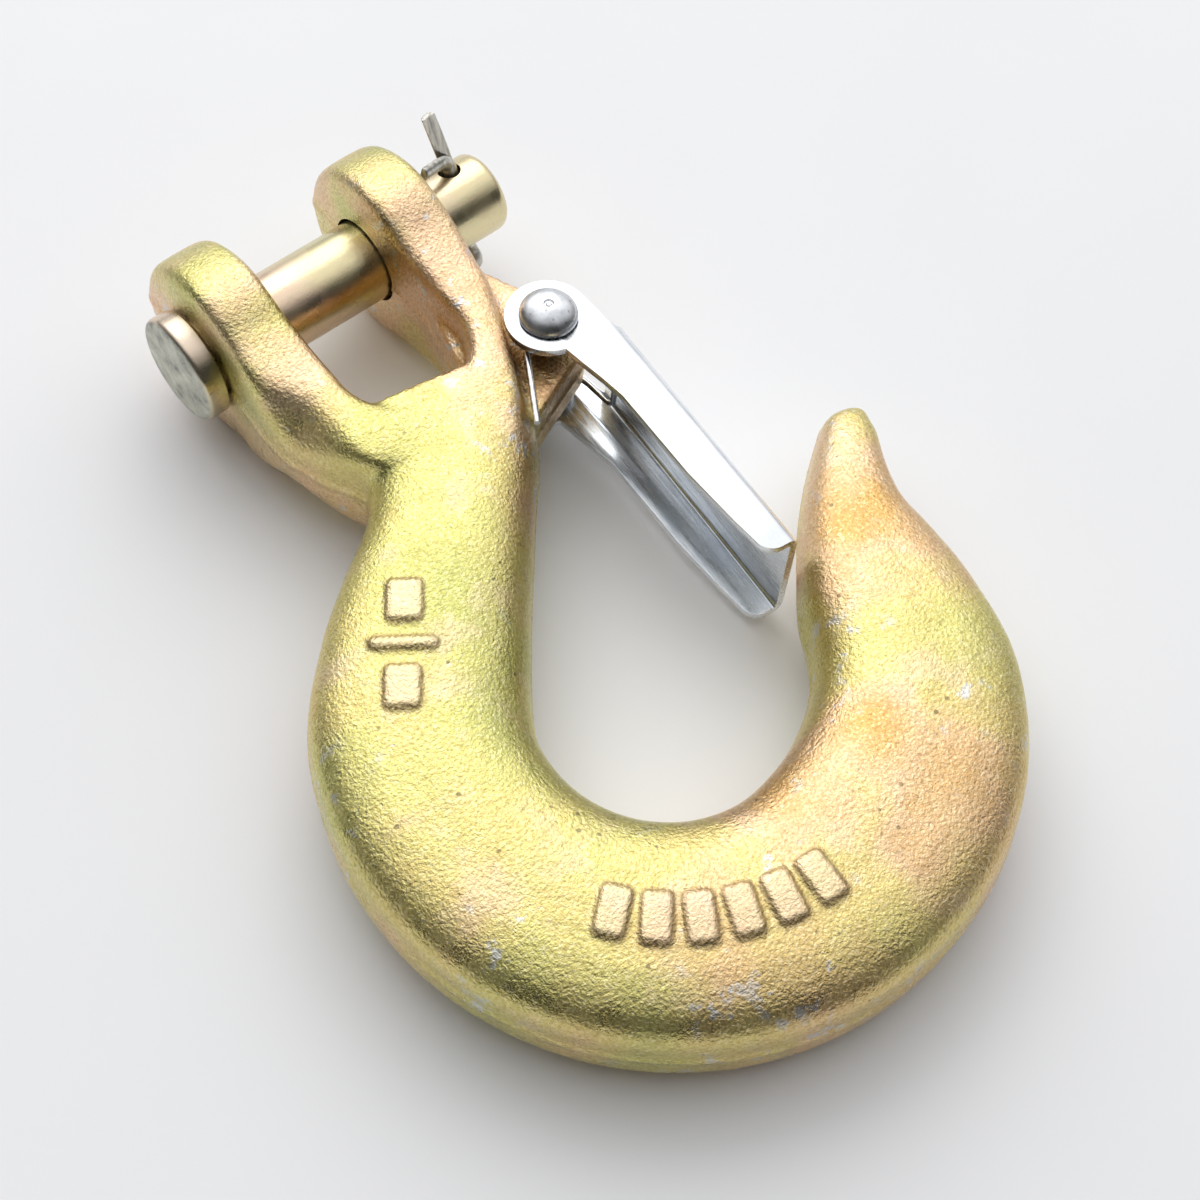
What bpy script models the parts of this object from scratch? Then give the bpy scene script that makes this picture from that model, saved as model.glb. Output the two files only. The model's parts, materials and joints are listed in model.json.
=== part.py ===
"""Clevis slip hook with a spring-loaded safety latch, for a 10 mm (3/8 in) chain.

The hook lies flat on its side: +Z is the normal of the hook's plane, +Y runs from the bowl to the
clevis and +X along the clevis pin, towards its cotter pin. Lengths are in metres. Each shape is
drawn around the centre of the clevis pin, and HOOK_ORIGIN puts that point in the part's frame.
"""
import math

import bmesh
import bpy
from mathutils import Matrix, Vector

MM = 0.001
PART_NAME = "safety_chain_hook"
GAP = 0.3 * MM

# Clevis pin, the dimension that the rest is scaled from.
PIN_RADIUS = 6.0 * MM
PIN_BORE_RADIUS = PIN_RADIUS + 0.5 * MM
PIN_HEAD_RADIUS = 7.9 * MM
PIN_HEAD_THICKNESS = 3.6 * MM
PIN_END_CHAMFER = 1.3 * MM
PIN_END_X = 31.0 * MM
COTTER_X = 25.8 * MM
COTTER_HOLE_RADIUS = 1.7 * MM
COTTER_RADIUS = 1.15 * MM
COTTER_LEAN = math.radians(-19)

# Clevis: two ears, a barrel in side view, with the chain slot between them.
SLOT_HALF_WIDTH = 9.6 * MM
SLOT_BOTTOM_Y = -30.0 * MM
EAR_OUTER_X = 18.9 * MM
EAR_RADIUS = 13.9 * MM
SLOT_ALLOWANCE = 0.4 * MM
NECK_HALF_THICKNESS = 9.3 * MM
PIN_HEAD_X = -EAR_OUTER_X - 0.4 * MM

# Bowl of the hook, round about the load line.
BOWL_X = -4.7 * MM
BOWL_Y = -81.0 * MM
BOWL_INNER_RADIUS = 16.3 * MM
BOWL_OUTER_RADIUS = 44.5 * MM
BODY_HALF_THICKNESS = 9.5 * MM

# Latch: a pressed channel that turns on a rivet through the lug beside the clevis.
RIVET_X = 19.1 * MM
RIVET_Y = -28.6 * MM
RIVET_RADIUS = 2.4 * MM
RIVET_HEAD_RADIUS = 4.1 * MM
RIVET_HEAD_HEIGHT = 2.4 * MM
RIVET_HOLE_RADIUS = RIVET_RADIUS + GAP
LUG_RADIUS = 5.5 * MM
LUG_HALF_THICKNESS = 4.6 * MM
LATCH_HALF_WIDTH = 9.1 * MM
LATCH_SHEET = 1.2 * MM
LATCH_EAR_RADIUS = 6.0 * MM
LATCH_LENGTH = 46.6 * MM
LATCH_WEB_START = 6.3 * MM
LATCH_WEB_V = 7.9 * MM
LATCH_BEND_RADIUS = 1.8 * MM
LATCH_REST_ANGLE = math.radians(-95.6)

SPRING_WIRE_RADIUS = 0.45 * MM
SPRING_COIL_RADIUS = 3.4 * MM
SPRING_TURNS = 1.42
SPRING_PITCH = 1.0 * MM

# Where the pin's centre stands in the part's frame: the box is centred on X and Y, and rests on Z = 0.
HOOK_ORIGIN = Vector((1.34 * MM, 56.74 * MM, EAR_RADIUS - 0.12 * MM))

FORGING_VOXEL = 0.8 * MM
CLEVIS_SMOOTHING = 24
BODY_SMOOTHING = 6
FORGING_TRIANGLE_SHARE = 0.068


def clear_scene():
    for old in list(bpy.data.objects):
        bpy.data.objects.remove(old, do_unlink=True)


def new_collection(name):
    collection = bpy.data.collections.new(name)
    bpy.context.scene.collection.children.link(collection)
    return collection


def principled(name, color, metallic, roughness):
    material = bpy.data.materials.new(name)
    material.use_nodes = True
    shader = material.node_tree.nodes["Principled BSDF"]
    shader.inputs["Base Color"].default_value = (*color, 1.0)
    shader.inputs["Metallic"].default_value = metallic
    shader.inputs["Roughness"].default_value = roughness
    return material


def object_from_bmesh(name, bm, collection, location=HOOK_ORIGIN):
    bmesh.ops.recalc_face_normals(bm, faces=bm.faces)
    mesh = bpy.data.meshes.new(name)
    bm.to_mesh(mesh)
    bm.free()
    obj = bpy.data.objects.new(name, mesh)
    obj.location = location
    collection.objects.link(obj)
    return obj


def prism(name, outline, axis, low, high, collection, location=HOOK_ORIGIN):
    """Extrude a closed 2D outline along one axis; the outline lies on the two other axes."""
    def place(point, along):
        first, second = point
        return {"X": (along, first, second), "Y": (first, along, second), "Z": (first, second, along)}[axis]

    bm = bmesh.new()
    face = bm.faces.new([bm.verts.new(place(point, low)) for point in outline])
    grown = bmesh.ops.extrude_face_region(bm, geom=[face])
    top = [item for item in grown["geom"] if isinstance(item, bmesh.types.BMVert)]
    bmesh.ops.translate(bm, verts=top, vec=Vector(place((0, 0), high)) - Vector(place((0, 0), low)))
    return object_from_bmesh(name, bm, collection, location)


def cylinder(name, radius, low, high, centre, axis, collection, segments=48):
    """A round cutter or boss along X or Z, with its ends at low and high on that axis."""
    bm = bmesh.new()
    bmesh.ops.create_cone(bm, cap_ends=True, segments=segments, radius1=radius, radius2=radius, depth=high - low)
    middle = (low + high) / 2
    if axis == "X":
        bmesh.ops.rotate(bm, verts=bm.verts, matrix=Matrix.Rotation(math.pi / 2, 3, "Y"))
        offset = Vector((middle, centre[0], centre[1]))
    else:
        offset = Vector((centre[0], centre[1], middle))
    bmesh.ops.translate(bm, verts=bm.verts, vec=offset)
    return object_from_bmesh(name, bm, collection)


def make_cutter(obj):
    obj.hide_render = True
    obj.display_type = "WIRE"
    return obj


def add_boolean(target, cutter, operation):
    modifier = target.modifiers.new(f"{operation.lower()} {cutter.name}", "BOOLEAN")
    modifier.operation = operation
    modifier.solver = "EXACT"
    modifier.object = cutter
    return modifier


def smooth_shading(obj, angle=math.radians(35)):
    obj.data.shade_smooth()
    obj.data.set_sharp_from_angle(angle=angle)


def arc(centre, radius, start_degrees, end_degrees, steps):
    """Points on an arc, both ends included."""
    points = []
    for step in range(steps + 1):
        angle = math.radians(start_degrees + (end_degrees - start_degrees) * step / steps)
        points.append((centre[0] + radius * math.cos(angle), centre[1] + radius * math.sin(angle)))
    return points


def catmull_rom(values, samples):
    """A smooth run of vectors through the given ones, with samples steps between neighbours."""
    padded = [values[0] * 2 - values[1], *values, values[-1] * 2 - values[-2]]
    smooth = []
    for index in range(1, len(padded) - 2):
        before, start, end, after = padded[index - 1:index + 3]
        for step in range(samples):
            t = step / samples
            smooth.append(0.5 * (2 * start + (end - before) * t
                                 + (2 * before - 5 * start + 4 * end - after) * t ** 2
                                 + (3 * start - before - 3 * end + after) * t ** 3))
    smooth.append(values[-1])
    return smooth


def bowl_station(degrees, inner_radius, outer_radius, half_thickness):
    """Inner edge, outer edge and half thickness of the body on a ray from the bowl's centre."""
    angle = math.radians(degrees)
    ray = (math.cos(angle), math.sin(angle))
    return Vector((BOWL_X + inner_radius * ray[0], BOWL_Y + inner_radius * ray[1],
                   BOWL_X + outer_radius * ray[0], BOWL_Y + outer_radius * ray[1], half_thickness))


def station(inner, outer, half_thickness):
    return Vector((*inner, *outer, half_thickness)) * MM


def body_stations():
    """The forging from inside the clevis, down the shank, round the bowl and up to the tip."""
    full = BODY_HALF_THICKNESS / MM
    shank = [
        station((13.0, -29.0), (-13.5, -24.0), full - 0.6),
        station((8.0, -40.5), (-14.2, -31.5), full - 0.4),
        station((0.8, -48.9), (-18.2, -37.4), full - 0.2),
        station((-5.4, -56.1), (-26.0, -42.6), full),
        station((-11.4, -63.1), (-34.4, -49.0), full),
    ]
    bowl = [bowl_station(degrees, BOWL_INNER_RADIUS, BOWL_OUTER_RADIUS + deeper * MM, BODY_HALF_THICKNESS)
            for degrees, deeper in ((150, 0.0), (172, 0.2), (195, 0.6), (218, 1.1), (241, 1.5), (264, 1.8),
                                    (287, 1.9))]
    rise = [
        bowl_station(308, 17.4 * MM, 46.5 * MM, BODY_HALF_THICKNESS),
        bowl_station(328, 19.4 * MM, 46.2 * MM, BODY_HALF_THICKNESS - 0.2 * MM),
        bowl_station(345, 21.2 * MM, 45.0 * MM, BODY_HALF_THICKNESS - 0.6 * MM),
    ]
    tip = [
        station((18.6, -81.6), (40.0, -83.4), full - 1.2),
        station((22.4, -77.2), (40.4, -78.0), full - 1.9),
        station((26.6, -72.6), (42.0, -73.6), full - 2.7),
        station((31.0, -68.6), (43.9, -70.2), full - 3.6),
        station((35.4, -65.2), (45.6, -67.4), full - 4.4),
        station((39.4, -62.5), (46.4, -65.0), full - 5.2),
    ]
    return shank + bowl + rise + tip


INNER_ROUNDNESS = 2.7
OUTER_ROUNDNESS = 4.8
FACE_FALL = 0.20


def body_section(inner, outer, half_thickness, count):
    """One closed ring: a rounded slab whose faces fall away towards its outer edge."""
    middle = (inner + outer) / 2
    half = (outer - inner) / 2
    ring = []
    for step in range(count):
        angle = 2 * math.pi * step / count
        across, up = math.cos(angle), math.sin(angle)
        power = 2 / (OUTER_ROUNDNESS if across > 0 else INNER_ROUNDNESS)
        side = math.copysign(abs(across) ** power, across)
        rise = math.copysign(abs(up) ** power, up)
        fall = 1 - FACE_FALL * max(0.0, side) ** 2
        point = middle + half * side
        ring.append(Vector((point.x, point.y, half_thickness * rise * fall)))
    return ring


def loft(name, rings, collection):
    """Skin a run of rings of equal length and close both ends."""
    bm = bmesh.new()
    loops = [[bm.verts.new(point) for point in ring] for ring in rings]
    count = len(rings[0])
    for first, second in zip(loops, loops[1:]):
        for index in range(count):
            following = (index + 1) % count
            bm.faces.new((first[index], first[following], second[following], second[index]))
    bm.faces.new(reversed(loops[0]))
    bm.faces.new(loops[-1])
    return object_from_bmesh(name, bm, collection)


def round_tip(rings):
    """Rings that shrink along a quarter circle, so the tip ends in a blunt dome."""
    last = rings[-1]
    centre = sum(last, Vector()) / len(last)
    centre_before = sum(rings[-2], Vector()) / len(rings[-2])
    forward = (centre - centre_before).normalized()
    reach = 3.2 * MM
    dome = []
    for degrees in (22, 44, 64, 80):
        angle = math.radians(degrees)
        shift = forward * reach * math.sin(angle)
        dome.append([centre + (point - centre) * math.cos(angle) + shift for point in last])
    return dome


def shank_and_bowl(cutters):
    rings = []
    for values in catmull_rom(body_stations(), 4):
        inner = Vector(values[0:2])
        outer = Vector(values[2:4])
        rings.append(body_section(inner, outer, values[4], 40))
    return loft("shank_and_bowl", rings + round_tip(rings), cutters)


def slot_outline(half_width, top):
    """The chain slot between the ears, round at its bottom, open at the top."""
    centre = (0.0, SLOT_BOTTOM_Y + SLOT_HALF_WIDTH)
    return [(half_width, top), *arc(centre, half_width, 0, -180, 24), (-half_width, top)]


def clevis_plan():
    """Outline of the clevis seen along Z: two ears, the slot and the shoulders down to the neck."""
    top = EAR_RADIUS + 1 * MM
    left = [(-EAR_OUTER_X, top), (-EAR_OUTER_X, -8 * MM), (-19.8 * MM, -15 * MM), (-19.7 * MM, -21 * MM),
            (-17.8 * MM, -27 * MM), (-14.8 * MM, -32.5 * MM), (-10 * MM, -38 * MM)]
    right = [(4 * MM, -42 * MM), (8.8 * MM, -36 * MM), (12.4 * MM, -29 * MM), (16.6 * MM, -20 * MM),
             (EAR_OUTER_X, -8 * MM), (EAR_OUTER_X, top)]
    return left + right + slot_outline(SLOT_HALF_WIDTH - SLOT_ALLOWANCE, top)


def clevis_side():
    """Outline of the clevis seen along X: the ears' barrel, which narrows to the neck."""
    upper = [(-14 * MM, 10.2 * MM), (-20 * MM, 9.6 * MM), (-30 * MM, NECK_HALF_THICKNESS),
             (-38 * MM, NECK_HALF_THICKNESS - 0.8 * MM), (-46 * MM, NECK_HALF_THICKNESS - 2 * MM)]
    barrel = arc((0.0, 0.0), EAR_RADIUS, -124, 124, 30)
    return barrel + upper + [(y, -z) for y, z in reversed(upper)]


def shoulder_bevel(side, face, cutters):
    """Wedge that takes the long corner off one shoulder of the clevis, and fades out towards the ear."""
    corners = [(20.2, 3.6), (13.0, 10.6), (13.0, 16.0), (26.0, 16.0), (26.0, 3.6)]
    rings = []
    for y, fade in ((-46.0, 0.0), (-21.0, 0.0), (-5.0, 5.6)):
        rings.append([Vector((side * (x + fade), y, face * (z + fade))) * MM for x, z in corners])
    return make_cutter(loft(f"shoulder_bevel_{side}_{face}", rings, cutters))


def lug_plan():
    """Outline of the latch lug: a round end about the rivet, run back into the clevis and neck."""
    centre = (RIVET_X, RIVET_Y)
    return [(10 * MM, -12 * MM), (18.2 * MM, -12 * MM), *arc(centre, LUG_RADIUS, 22, -66, 8),
            (10 * MM, -38.2 * MM), (2 * MM, -41 * MM)]


def add_fillets(obj, iterations):
    """Round every edge and corner the way a forging die does: even voxels, then smoothing."""
    remesh = obj.modifiers.new("forging remesh", "REMESH")
    remesh.mode = "VOXEL"
    remesh.voxel_size = FORGING_VOXEL
    smooth = obj.modifiers.new("forging fillets", "SMOOTH")
    smooth.factor = 0.5
    smooth.iterations = iterations


def hook_body(parts, cutters):
    """One forging: union, remesh and smooth give it the fillets and rolled edges of a die."""
    body = shank_and_bowl(cutters)
    cutters.objects.unlink(body)
    parts.objects.link(body)
    body.name = body.data.name = "hook_body"
    clevis = prism("clevis_block", clevis_plan(), "Z", -20 * MM, 20 * MM, cutters)
    side = make_cutter(prism("clevis_side", clevis_side(), "X", -40 * MM, 40 * MM, cutters))
    add_boolean(clevis, side, "INTERSECT")
    for face in (-1, 1):
        add_boolean(clevis, shoulder_bevel(-1, face, cutters), "DIFFERENCE")
    add_fillets(clevis, CLEVIS_SMOOTHING)
    lug = prism("latch_lug", lug_plan(), "Z", -LUG_HALF_THICKNESS, LUG_HALF_THICKNESS, cutters)
    for solid in (clevis, lug):
        add_boolean(body, make_cutter(solid), "UNION")
    add_fillets(body, BODY_SMOOTHING)
    decimate = body.modifiers.new("forging facets", "DECIMATE")
    decimate.ratio = FORGING_TRIANGLE_SHARE
    bore = cylinder("pin_bore", PIN_BORE_RADIUS, -30 * MM, 30 * MM, (0, 0), "X", cutters, 40)
    rivet_hole = cylinder("rivet_hole", RIVET_HOLE_RADIUS, -20 * MM, 20 * MM, (RIVET_X, RIVET_Y), "Z", cutters, 28)
    slot = prism("chain_slot", slot_outline(SLOT_HALF_WIDTH, 30 * MM), "Z", -30 * MM, 30 * MM, cutters)
    for cutter in (slot, bore, rivet_hole):
        add_boolean(body, make_cutter(cutter), "DIFFERENCE")
    body.data.materials.append(principled("yellow zinc forging", (0.72, 0.63, 0.33), 0.85, 0.42))
    body.data.shade_smooth()
    return body


def turned(name, profile, location, rotation, collection, steps):
    """A Screw-modified profile of (radius, height) points about its own Z axis, top to bottom."""
    mesh = bpy.data.meshes.new(name)
    points = [(radius, 0.0, height) for radius, height in profile]
    mesh.from_pydata(points, [(index, index + 1) for index in range(len(points) - 1)], [])
    obj = bpy.data.objects.new(name, mesh)
    obj.location = location
    obj.rotation_euler = rotation
    collection.objects.link(obj)
    screw = obj.modifiers.new("turn", "SCREW")
    screw.axis = "Z"
    screw.steps = screw.render_steps = steps
    screw.use_merge_vertices = True
    screw.merge_threshold = 0.01 * MM
    screw.use_smooth_shade = True
    return obj


def clevis_pin(parts, cutters):
    """A headed pin, drilled across near its plain end for the cotter pin."""
    edge = 0.6 * MM
    end, neck, face = PIN_END_X, PIN_HEAD_X, PIN_HEAD_X - PIN_HEAD_THICKNESS
    profile = [(0.0, end), (PIN_RADIUS - PIN_END_CHAMFER, end), (PIN_RADIUS - 0.4 * MM, end - 0.5 * MM),
               (PIN_RADIUS, end - PIN_END_CHAMFER), (PIN_RADIUS, neck), (PIN_HEAD_RADIUS - edge, neck),
               (PIN_HEAD_RADIUS, neck - edge), (PIN_HEAD_RADIUS, face + edge),
               (PIN_HEAD_RADIUS - edge, face), (0.0, face)]
    pin = turned("clevis_pin", profile, HOOK_ORIGIN, (0, math.pi / 2, 0), parts, 40)
    hole = make_cutter(cylinder("cotter_hole", COTTER_HOLE_RADIUS, -10 * MM, 10 * MM, (COTTER_X, 0), "Z",
                                cutters, 24))
    hole.rotation_euler.x = COTTER_LEAN
    add_boolean(pin, hole, "DIFFERENCE")
    pin.data.materials.append(principled("zinc plated pin", (0.70, 0.66, 0.50), 0.9, 0.35))
    return pin


def cotter_path():
    """Centreline of the half-round wire: long leg, through the hole, the eye, back up, short leg."""
    leg = 0.65 * MM
    long_leg = [Vector((24.8 * MM, leg, 15.4 * MM)), Vector((COTTER_X - 0.1 * MM, leg, 8.4 * MM))]
    down = [Vector((COTTER_X, leg, height * MM)) for height in (5.6, 0.0, -6.4)]
    eye_centre_z = -8.9 * MM
    eye = [Vector((COTTER_X, y, eye_centre_z + z)) for y, z in arc((0.0, 0.0), 1.75 * MM, 55, -235, 12)]
    up = [Vector((COTTER_X, -leg, height * MM)) for height in (-6.4, 0.0, 6.2)]
    short_leg = [Vector((25.3, -0.8, 7.6)) * MM, Vector((23.8, -1.5, 8.7)) * MM, Vector((20.2, -2.8, 9.5)) * MM]
    return long_leg + down + eye + up + short_leg


def half_round_rings(path):
    """D sections along the wire; the flat side always faces the middle of the folded pin."""
    flat_shift = 0.5 * MM
    width = Vector((1, 0, 0))
    rings = []
    for index, point in enumerate(path):
        before = path[max(index - 1, 0)]
        after = path[min(index + 1, len(path) - 1)]
        along = (after - before).normalized()
        width = (width - along * width.dot(along)).normalized()
        inward = along.cross(width)
        ring = []
        for degrees in (0, 30, 60, 90, 120, 150, 180):
            angle = math.radians(degrees)
            outward = COTTER_RADIUS * math.sin(angle) - flat_shift
            ring.append(point + width * COTTER_RADIUS * math.cos(angle) - inward * outward)
        rings.append(ring)
    return rings


def cotter_pin(parts):
    """A split pin: one half-round wire folded on itself, its short leg bent over towards the ear."""
    cotter = loft("cotter_pin", half_round_rings(cotter_path()), parts)
    cotter.rotation_euler.x = COTTER_LEAN
    cotter.data.materials.append(principled("cotter steel", (0.52, 0.50, 0.46), 0.9, 0.4))
    smooth_shading(cotter)
    return cotter


def latch_side_plan():
    """Outline of a latch flange: u along the latch from its pivot, v towards the mouth of the hook."""
    ear = arc((0, 0), LATCH_EAR_RADIUS, 92, 350, 24)
    lower = [(9 * MM, -0.4 * MM), (12.5 * MM, 0.4 * MM), (16.3 * MM, 1.1 * MM), (31 * MM, 1.4 * MM),
             (40 * MM, 2.2 * MM)]
    nose = arc((LATCH_LENGTH - 2.6 * MM, 5.3 * MM), 2.6 * MM, -75, 0, 5)
    top = [(LATCH_LENGTH, LATCH_WEB_V + MM), (LATCH_WEB_START, LATCH_WEB_V + MM), (LATCH_WEB_START, 7.0 * MM),
           (5.0 * MM, 6.6 * MM)]
    return ear + lower + nose + top


def latch_channel_profile():
    """Channel section in v and z: web on the mouth side, flanges towards the bowl."""
    wide, deep, sheet, bend = LATCH_HALF_WIDTH, -8 * MM, LATCH_SHEET, LATCH_BEND_RADIUS
    top = LATCH_WEB_V
    outer = arc((top - bend, wide - bend), bend, 90, 0, 4) + arc((top - bend, bend - wide), bend, 0, -90, 4)
    inner_bend = bend - sheet
    inner = (arc((top - bend, bend - wide), inner_bend, -90, 0, 3)
             + arc((top - bend, wide - bend), inner_bend, 0, 90, 3))
    return ([(deep, wide)] + outer + [(deep, -wide), (deep, -wide + sheet)] + inner + [(deep, wide - sheet)])


def latch(parts, cutters):
    """A pressed sheet channel: the channel section cut to the flanges' outline, with two rivet holes."""
    pivot = HOOK_ORIGIN + Vector((RIVET_X, RIVET_Y, 0))
    gate = prism("latch", latch_channel_profile(), "X", -8 * MM, LATCH_LENGTH + 2 * MM, parts, pivot)
    side = prism("latch_side", latch_side_plan(), "Z", -14 * MM, 14 * MM, cutters, pivot)
    hole = cylinder("latch_hole", RIVET_HOLE_RADIUS, -14 * MM, 14 * MM, (0, 0), "Z", cutters, 28)
    hole.location = pivot
    add_boolean(gate, make_cutter(side), "INTERSECT")
    add_boolean(gate, make_cutter(hole), "DIFFERENCE")
    for turned_object in (gate, side):
        turned_object.rotation_euler.z = LATCH_REST_ANGLE
    gate.data.materials.append(principled("bright zinc sheet", (0.80, 0.82, 0.84), 0.9, 0.28))
    smooth_shading(gate)
    return gate


def dome(radius, height, base, direction, steps):
    """Profile points of a dome, from its crown to its rim, on a base plane."""
    points = []
    for step in range(steps + 1):
        angle = math.pi / 2 * step / steps
        points.append((radius * math.sin(angle), base + direction * height * math.cos(angle)))
    return points


def latch_rivet(parts):
    """A round-head rivet through both latch ears and the lug, upset on the far side."""
    seat = LATCH_HALF_WIDTH + GAP
    profile = dome(RIVET_HEAD_RADIUS, RIVET_HEAD_HEIGHT, seat, 1, 7)
    profile += [(RIVET_RADIUS, seat), (RIVET_RADIUS, -seat)]
    profile += list(reversed(dome(0.88 * RIVET_HEAD_RADIUS, 0.7 * RIVET_HEAD_HEIGHT, -seat, -1, 5)))
    location = HOOK_ORIGIN + Vector((RIVET_X, RIVET_Y, 0))
    rivet = turned("latch_rivet", profile, location, (0, 0, 0), parts, 32)
    rivet.data.materials.append(principled("rivet steel", (0.68, 0.69, 0.69), 0.9, 0.34))
    return rivet


def spring_half_path():
    """Upper half of the double spring: the leg on the shank, the coil, then the leg under the web."""
    steps_per_turn = 14
    start_degrees = 150
    first_height = LUG_HALF_THICKNESS + GAP + SPRING_WIRE_RADIUS
    rise = SPRING_PITCH * SPRING_TURNS
    leg_height = first_height + rise
    points = [Vector((-11.2 * MM, -11.6 * MM, leg_height))]
    count = round(SPRING_TURNS * steps_per_turn)
    for step in range(count + 1):
        share = step / count
        angle = math.radians(start_degrees - 360 * SPRING_TURNS * share)
        height = leg_height - rise * share
        points.append(Vector((SPRING_COIL_RADIUS * math.cos(angle), SPRING_COIL_RADIUS * math.sin(angle), height)))
    return points


def latch_spring(parts):
    """A double torsion spring: two coils about the rivet, joined by a bridge under the latch's web."""
    half = spring_half_path()
    coil_end_height = half[-1].z
    bridge = [Vector((4.2, -4.6, 0)) * MM + Vector((0, 0, coil_end_height)),
              Vector((4.5, -9.6, 0)) * MM + Vector((0, 0, coil_end_height))]
    run = half + bridge
    mirrored = [Vector((point.x, point.y, -point.z)) for point in reversed(run)]
    points = run + mirrored
    curve = bpy.data.curves.new("latch_spring", "CURVE")
    curve.dimensions = "3D"
    curve.bevel_depth = SPRING_WIRE_RADIUS
    curve.bevel_resolution = 2
    curve.use_fill_caps = True
    spline = curve.splines.new("POLY")
    spline.points.add(len(points) - 1)
    for target, point in zip(spline.points, points):
        target.co = (*point, 1.0)
    spring = bpy.data.objects.new("latch_spring", curve)
    spring.location = HOOK_ORIGIN + Vector((RIVET_X, RIVET_Y, 0))
    parts.objects.link(spring)
    curve.materials.append(principled("spring wire", (0.66, 0.68, 0.70), 0.95, 0.25))
    return spring


def build():
    clear_scene()
    parts = new_collection(PART_NAME)
    cutters = new_collection("cutters")
    hook_body(parts, cutters)
    clevis_pin(parts, cutters)
    cotter_pin(parts)
    latch(parts, cutters)
    latch_rivet(parts)
    latch_spring(parts)


build()
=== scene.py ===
"""Looks of the clevis slip hook: a finer forging, pin, cotter pin, latch, rivet and spring round the CAD."""

import json
import math

import bmesh
import bpy
import numpy as np
from mathutils import Matrix, Vector

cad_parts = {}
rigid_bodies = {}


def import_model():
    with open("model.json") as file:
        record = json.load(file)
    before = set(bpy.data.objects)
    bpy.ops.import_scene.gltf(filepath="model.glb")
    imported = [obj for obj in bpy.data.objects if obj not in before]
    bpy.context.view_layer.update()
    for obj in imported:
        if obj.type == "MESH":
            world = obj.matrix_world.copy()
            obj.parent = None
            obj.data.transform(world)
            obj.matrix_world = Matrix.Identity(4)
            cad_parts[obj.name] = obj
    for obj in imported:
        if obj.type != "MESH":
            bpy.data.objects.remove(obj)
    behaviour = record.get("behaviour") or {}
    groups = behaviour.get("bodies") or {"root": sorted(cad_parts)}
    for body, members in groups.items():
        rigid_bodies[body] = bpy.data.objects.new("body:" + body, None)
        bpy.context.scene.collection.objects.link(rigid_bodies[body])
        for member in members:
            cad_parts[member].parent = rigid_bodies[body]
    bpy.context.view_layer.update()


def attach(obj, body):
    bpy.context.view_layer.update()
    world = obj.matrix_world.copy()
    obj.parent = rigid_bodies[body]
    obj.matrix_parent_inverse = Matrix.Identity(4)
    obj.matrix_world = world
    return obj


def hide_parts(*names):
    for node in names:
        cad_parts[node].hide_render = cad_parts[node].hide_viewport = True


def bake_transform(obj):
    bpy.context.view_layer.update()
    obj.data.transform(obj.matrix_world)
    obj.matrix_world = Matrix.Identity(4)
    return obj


MM = 0.001
GAP = 0.3 * MM

# Clevis pin, the dimension that the rest is scaled from.
PIN_RADIUS = 6.0 * MM
PIN_BORE_RADIUS = PIN_RADIUS + 0.5 * MM
PIN_HEAD_RADIUS = 7.9 * MM
PIN_HEAD_THICKNESS = 3.6 * MM
PIN_END_X = 31.0 * MM
COTTER_X = 25.8 * MM
COTTER_HOLE_RADIUS = 1.7 * MM
COTTER_RADIUS = 1.15 * MM
COTTER_LEAN = math.radians(-19)

# Clevis: two ears, a barrel in side view, with the chain slot between them.
SLOT_HALF_WIDTH = 9.6 * MM
SLOT_BOTTOM_Y = -30.0 * MM
EAR_OUTER_X = 18.9 * MM
EAR_RADIUS = 13.9 * MM
SLOT_ALLOWANCE = 0.4 * MM
NECK_HALF_THICKNESS = 9.3 * MM
PIN_HEAD_X = -EAR_OUTER_X - 0.4 * MM

# Bowl of the hook, round about the load line.
BOWL_X = -4.7 * MM
BOWL_Y = -81.0 * MM
BOWL_INNER_RADIUS = 16.3 * MM
BOWL_OUTER_RADIUS = 44.5 * MM
BODY_HALF_THICKNESS = 9.5 * MM

# Latch: a pressed channel that turns on a rivet through the lug beside the clevis.
RIVET_X = 19.1 * MM
RIVET_Y = -28.6 * MM
RIVET_RADIUS = 2.4 * MM
RIVET_HEAD_RADIUS = 4.1 * MM
RIVET_HEAD_HEIGHT = 2.4 * MM
RIVET_HOLE_RADIUS = RIVET_RADIUS + GAP
LUG_RADIUS = 5.5 * MM
LUG_HALF_THICKNESS = 4.6 * MM
LATCH_HALF_WIDTH = 9.1 * MM
LATCH_SHEET = 1.2 * MM
LATCH_EAR_RADIUS = 6.0 * MM
LATCH_LENGTH = 46.6 * MM
LATCH_WEB_START = 6.3 * MM
LATCH_WEB_V = 7.9 * MM
LATCH_BEND_RADIUS = 1.8 * MM
LATCH_REST_ANGLE = math.radians(-95.6)

SPRING_WIRE_RADIUS = 0.45 * MM
SPRING_COIL_RADIUS = 3.4 * MM
SPRING_TURNS = 1.42
SPRING_PITCH = 1.0 * MM

# Where the pin's centre stands in the part's frame: the box is centred on X and Y, and rests on Z = 0.
HOOK_ORIGIN = Vector((1.34 * MM, 56.74 * MM, EAR_RADIUS - 0.12 * MM))

# How square the body's section is at its inner and outer edge, and how far its faces fall outwards.
INNER_ROUNDNESS = 2.7
OUTER_ROUNDNESS = 4.8
FACE_FALL = 0.20

# Voxels and smoothing rounds of the clevis block, then of the whole forging.
FORGING_VOXEL = 0.8 * MM
CLEVIS_SMOOTHING = 24
FINE_VOXEL = 0.5 * MM
FINE_SMOOTHING = 15

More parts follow.
